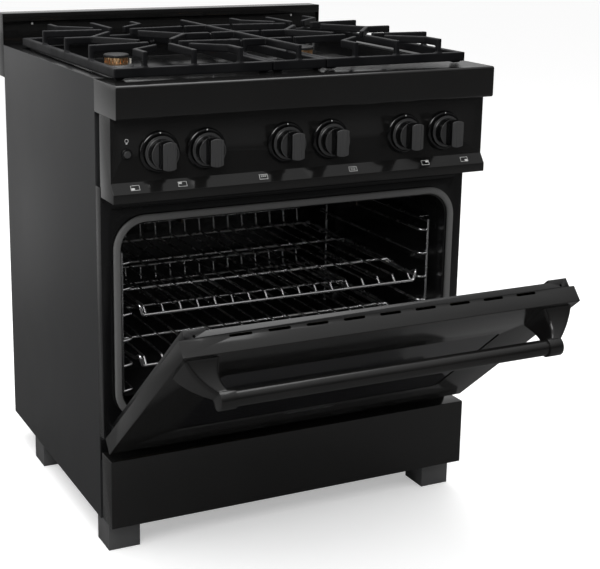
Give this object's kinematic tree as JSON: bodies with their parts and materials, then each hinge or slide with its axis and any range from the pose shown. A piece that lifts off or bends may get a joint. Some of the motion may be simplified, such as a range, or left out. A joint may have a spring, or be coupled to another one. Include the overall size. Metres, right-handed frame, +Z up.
{
  "type": "freestanding gas range",
  "caption": "Freestanding gas range with continuous cast grates, brass burners, turn knobs, wire-rack oven, drop-down glazed door with a tubular handle, low backguard and square legs.",
  "frame": {"origin": "middle of the resting bounding box, on the floor, with the oven door standing part open as at rest", "axes": "+Z up, +Y towards the wall behind the range, the controls and door face -Y, +X to the right of a person facing the controls"},
  "size_m": [0.759, 1.0654, 0.9475],
  "materials": {
    "side_paint": "satin",
    "black_stainless": "brushed, dark",
    "dark_enamel": "gloss",
    "oven_enamel": "gloss",
    "cast_iron": "matte",
    "chrome_wire": "polished",
    "burner_brass": "machined",
    "burner_cap": "matte enamel",
    "burner_base": "cast",
    "igniter_ceramic": "glazed",
    "smoked_glass": "dark, polished",
    "clear_glass": "polished",
    "lamp_glass": "moulded",
    "seal_rubber": "matte",
    "mineral_wool": "fibrous",
    "knob_black": "satin",
    "bezel_black": "gloss",
    "handle_black": "satin",
    "trim_steel": "brushed",
    "zinc_steel": "plated",
    "burner_steel": "heat tinted",
    "valve_brass": "machined",
    "leg_grey": "satin",
    "gland_plastic": "moulded"
  },
  "bodies": {
    "range_body": {"backguard": "black_stainless", "bake_burner": "burner_steel", "base_pan": "zinc_steel", "broil_burner": "burner_steel", "burner_bases": "burner_base", "burner_caps": "burner_cap", "burner_heads": "burner_brass", "button_ring": "bezel_black", "control_panel": "black_stainless", "cooktop_deck": "dark_enamel", "cord_gland": "gland_plastic", "door_gasket": "seal_rubber", "front_fascia": "black_stainless", "front_frame": "dark_enamel", "front_rail": "dark_enamel", "gas_feed_pipe": "zinc_steel", "gas_manifold": "zinc_steel", "gas_valves": "valve_brass", "hinge_brackets": "zinc_steel", "igniters": "igniter_ceramic", "kick_panel": "black_stainless", "knob_bezels": "bezel_black", "leg_front_left": "leg_grey", "leg_front_right": "leg_grey", "leg_rear_left": "leg_grey", "leg_rear_right": "leg_grey", "oven_cavity": "oven_enamel", "oven_floor": "oven_enamel", "oven_insulation": "mineral_wool", "oven_lamp": "lamp_glass", "rack_ladder_left": "chrome_wire", "rack_ladder_right": "chrome_wire", "rear_panel": "zinc_steel", "rear_screws": "zinc_steel", "side_panel_left": "side_paint", "side_panel_right": "side_paint"},
    "oven_door": {"door_outer_panel": "black_stainless", "door_inner_liner": "dark_enamel", "door_glass_outer": "smoked_glass", "door_glass_inner": "clear_glass", "door_insulation": "mineral_wool", "door_hinge_cheeks": "zinc_steel", "handle_bar": "handle_black", "handle_bracket_left": "handle_black", "handle_bracket_right": "handle_black", "door_trim_plate": "trim_steel"},
    "knob_front_left_body": {"knob_front_left": "knob_black"},
    "knob_rear_left_body": {"knob_rear_left": "knob_black"},
    "knob_broil_body": {"knob_broil": "knob_black"},
    "knob_oven_body": {"knob_oven": "knob_black"},
    "knob_rear_right_body": {"knob_rear_right": "knob_black"},
    "knob_front_right_body": {"knob_front_right": "knob_black"},
    "lamp_button_body": {"lamp_button": "knob_black"},
    "oven_rack_upper_body": {"oven_rack_upper": "chrome_wire"},
    "oven_rack_lower_body": {"oven_rack_lower": "chrome_wire"},
    "grate_left_body": {"grate_left": "cast_iron"},
    "grate_center_body": {"grate_center": "cast_iron"},
    "grate_right_body": {"grate_right": "cast_iron"}
  },
  "joints": [
    {"name": "door_hinge", "type": "hinge", "parent": "range_body", "child": "oven_door", "pos_m": [0, -0.16027, 0.238], "axis": [1, 0, 0], "range_deg": [-49.5, 40.5]},
    {"name": "knob_front_left_turn", "type": "hinge", "parent": "range_body", "child": "knob_front_left_body", "pos_m": [-0.2905, -0.20527, 0.7605], "axis": [0, -1, 0], "range_deg": [0, 230]},
    {"name": "knob_rear_left_turn", "type": "hinge", "parent": "range_body", "child": "knob_rear_left_body", "pos_m": [-0.2025, -0.20527, 0.7605], "axis": [0, -1, 0], "range_deg": [0, 230]},
    {"name": "knob_broil_turn", "type": "hinge", "parent": "range_body", "child": "knob_broil_body", "pos_m": [-0.045, -0.20527, 0.7605], "axis": [0, -1, 0], "range_deg": [0, 270]},
    {"name": "knob_oven_turn", "type": "hinge", "parent": "range_body", "child": "knob_oven_body", "pos_m": [0.045, -0.20527, 0.7605], "axis": [0, -1, 0], "range_deg": [0, 270]},
    {"name": "knob_rear_right_turn", "type": "hinge", "parent": "range_body", "child": "knob_rear_right_body", "pos_m": [0.2025, -0.20527, 0.7605], "axis": [0, -1, 0], "range_deg": [0, 230]},
    {"name": "knob_front_right_turn", "type": "hinge", "parent": "range_body", "child": "knob_front_right_body", "pos_m": [0.2905, -0.20527, 0.7605], "axis": [0, -1, 0], "range_deg": [0, 230]},
    {"name": "lamp_button_press", "type": "slide", "parent": "range_body", "child": "lamp_button_body", "axis": [0, 1, 0], "range_m": [0, 0.0025], "stiffness_N_per_m": 600, "springref_m": -0.001},
    {"name": "oven_rack_upper_slide", "type": "slide", "parent": "range_body", "child": "oven_rack_upper_body", "axis": [0, -1, 0], "range_m": [0, 0.19]},
    {"name": "oven_rack_lower_slide", "type": "slide", "parent": "range_body", "child": "oven_rack_lower_body", "axis": [0, -1, 0], "range_m": [0, 0.085]},
    {"name": "grate_left_lift", "type": "slide", "parent": "range_body", "child": "grate_left_body", "axis": [0, 0, 1], "range_m": [0, 0.06]},
    {"name": "grate_center_lift", "type": "slide", "parent": "range_body", "child": "grate_center_body", "axis": [0, 0, 1], "range_m": [0, 0.06]},
    {"name": "grate_right_lift", "type": "slide", "parent": "range_body", "child": "grate_right_body", "axis": [0, 0, 1], "range_m": [0, 0.06]}
  ]
}
